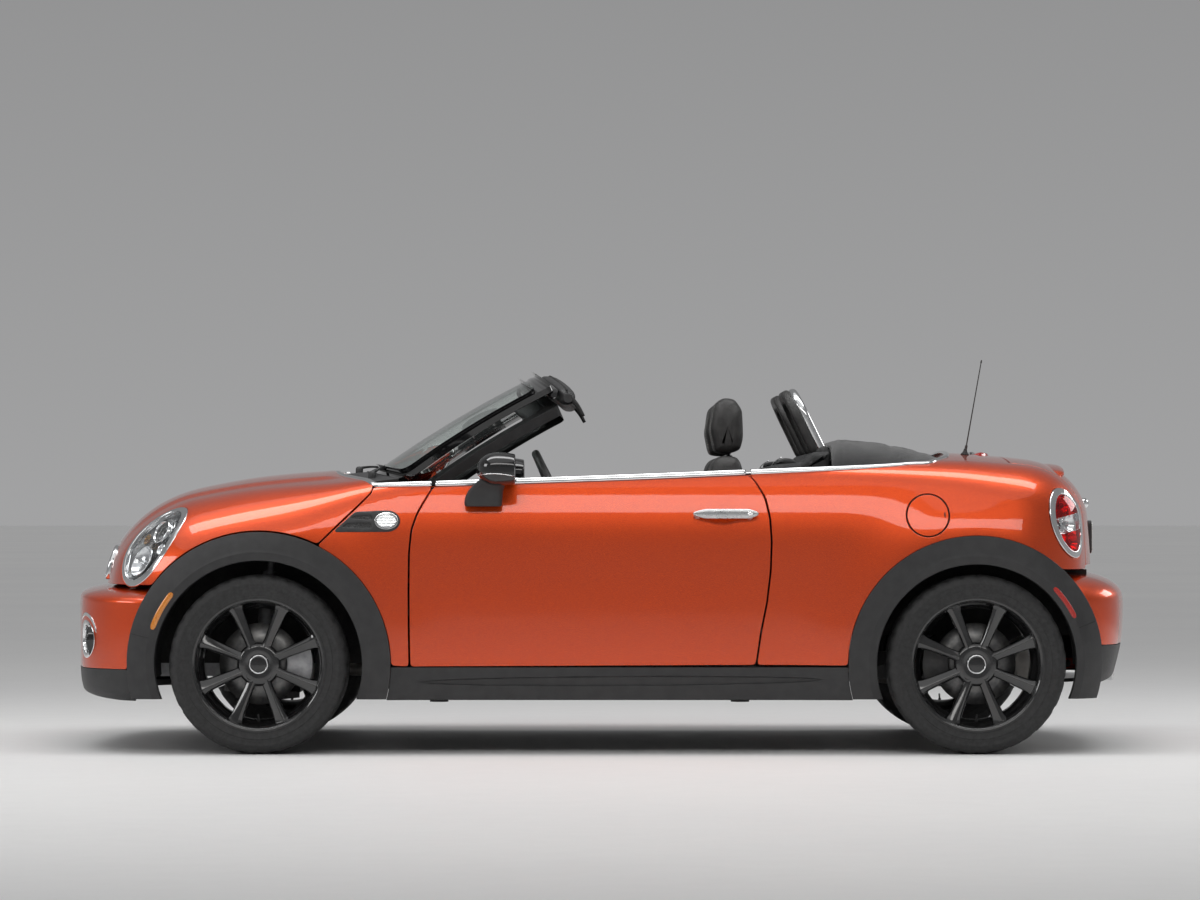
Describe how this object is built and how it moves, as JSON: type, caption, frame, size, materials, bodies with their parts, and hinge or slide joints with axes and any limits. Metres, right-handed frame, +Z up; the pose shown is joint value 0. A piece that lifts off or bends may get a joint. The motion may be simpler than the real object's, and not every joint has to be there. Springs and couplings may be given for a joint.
{
  "type": "two-seat convertible car",
  "caption": "Compact two-seat roadster with a folded soft top, opening doors, bonnet, boot lid and fuel flap, steered front wheels and free-turning road wheels.",
  "frame": {"origin": "on the ground at the middle of the car's length and width", "axes": "+X towards the tail, -Y towards the car's left side, +Z up"},
  "size_m": [3.7294, 1.888, 1.3811],
  "materials": {
    "paint": "orange metallic lacquer",
    "black_plastic": "grained black moulding",
    "gloss_black": "gloss black",
    "lamp_glass": "clear lens",
    "red_lens": "red lens",
    "bright_trim": "bright chrome",
    "screen_glass": "clear laminated glass",
    "underbody": "dark underbody coating",
    "cabin_plastic": "soft grained black",
    "seat_leather": "black grained leather",
    "wheel_leather": "smooth black leather",
    "hoop_steel": "polished tube",
    "roof_fabric": "black woven soft-top cloth",
    "cast_metal": "cast",
    "exhaust_steel": "dull stainless",
    "chassis_steel": "black chassis paint",
    "wheel_black": "gloss black alloy",
    "tyre_rubber": "tyre rubber"
  },
  "bodies": {
    "body": {"front_wings": "paint", "cowl": "black_plastic", "rear_body": "paint", "headlights": "lamp_glass", "tail_lights": "red_lens", "front_bumper": "paint", "rear_bumper": "paint", "arch_trims": "black_plastic", "lower_cladding": "black_plastic", "fog_lights": "lamp_glass", "grille": "bright_trim", "windscreen_frame": "gloss_black", "windscreen": "screen_glass", "floor_pan": "underbody", "engine_bay": "underbody", "rear_floor": "underbody", "dashboard": "cabin_plastic", "centre_console": "cabin_plastic", "driver_seat": "seat_leather", "passenger_seat": "seat_leather", "steering_column": "cabin_plastic", "roll_hoops": "hoop_steel", "soft_top": "roof_fabric", "engine_block": "cast_metal", "exhaust": "exhaust_steel", "front_subframe": "chassis_steel", "rear_axle": "chassis_steel", "aerial": "gloss_black", "wipers": "black_plastic"},
    "bonnet": {"bonnet": "paint"},
    "boot_lid": {"boot_lid": "paint", "plate_holder": "black_plastic"},
    "door_left": {"door_left": "paint", "handle_left": "bright_trim", "mirror_left": "gloss_black"},
    "door_right": {"door_right": "paint", "handle_right": "bright_trim", "mirror_right": "gloss_black"},
    "fuel_flap": {"fuel_flap": "paint"},
    "steering_wheel": {"steering_wheel": "wheel_leather"},
    "knuckle_left": {"knuckle_left": "cast_metal"},
    "knuckle_right": {"knuckle_right": "cast_metal"},
    "front_left_wheel": {"wheel_front_left": "wheel_black", "tyre_front_left": "tyre_rubber"},
    "front_right_wheel": {"wheel_front_right": "wheel_black", "tyre_front_right": "tyre_rubber"},
    "rear_left_wheel": {"wheel_rear_left": "wheel_black", "tyre_rear_left": "tyre_rubber"},
    "rear_right_wheel": {"wheel_rear_right": "wheel_black", "tyre_rear_right": "tyre_rubber"}
  },
  "joints": [
    {"name": "bonnet_hinge", "type": "hinge", "parent": "body", "child": "bonnet", "pos_m": [-0.8, 0, 0.93], "axis": [0, 1, 0], "range_deg": [0, 50]},
    {"name": "boot_hinge", "type": "hinge", "parent": "body", "child": "boot_lid", "pos_m": [1.428, 0, 1.034], "axis": [0, -1, 0], "range_deg": [0, 72]},
    {"name": "door_left_hinge", "type": "hinge", "parent": "body", "child": "door_left", "pos_m": [-0.648, -0.815, 0.6], "axis": [0, 0, -1], "range_deg": [0, 66]},
    {"name": "door_right_hinge", "type": "hinge", "parent": "body", "child": "door_right", "pos_m": [-0.648, 0.815, 0.6], "axis": [0, 0, 1], "range_deg": [0, 66]},
    {"name": "fuel_flap_hinge", "type": "hinge", "parent": "body", "child": "fuel_flap", "pos_m": [1.048, -0.817, 0.82], "axis": [0, 0, -1], "range_deg": [0, 80]},
    {"name": "steer_left", "type": "hinge", "parent": "body", "child": "knuckle_left", "pos_m": [-1.177, -0.64321, 0.308], "axis": [0.0678, 0.2414, 0.9681], "range_deg": [-32, 32]},
    {"name": "steer_right", "type": "hinge", "parent": "body", "child": "knuckle_right", "pos_m": [-1.177, 0.64321, 0.308], "axis": [0.0678, -0.2414, 0.9681], "range_deg": [-32, 32]},
    {"name": "steering_wheel_turn", "type": "hinge", "parent": "body", "child": "steering_wheel", "pos_m": [-0.159, -0.36, 0.882], "axis": [0.9063, 0, 0.4226], "range_deg": [-448, 448]},
    {"name": "front_left_wheel_spin", "type": "hinge", "parent": "knuckle_left", "child": "front_left_wheel", "pos_m": [-1.177, -0.73, 0.308], "axis": [0, 1, 0], "continuous": true},
    {"name": "front_right_wheel_spin", "type": "hinge", "parent": "knuckle_right", "child": "front_right_wheel", "pos_m": [-1.177, 0.73, 0.308], "axis": [0, 1, 0], "continuous": true},
    {"name": "rear_left_wheel_spin", "type": "hinge", "parent": "body", "child": "rear_left_wheel", "pos_m": [1.29, -0.73, 0.308], "axis": [0, 1, 0], "continuous": true},
    {"name": "rear_right_wheel_spin", "type": "hinge", "parent": "body", "child": "rear_right_wheel", "pos_m": [1.29, 0.73, 0.308], "axis": [0, 1, 0], "continuous": true}
  ],
  "couplings": [
    {"joint": "steer_right", "follows": "steer_left", "ratio": 1},
    {"joint": "steering_wheel_turn", "follows": "steer_left", "ratio": 14}
  ]
}
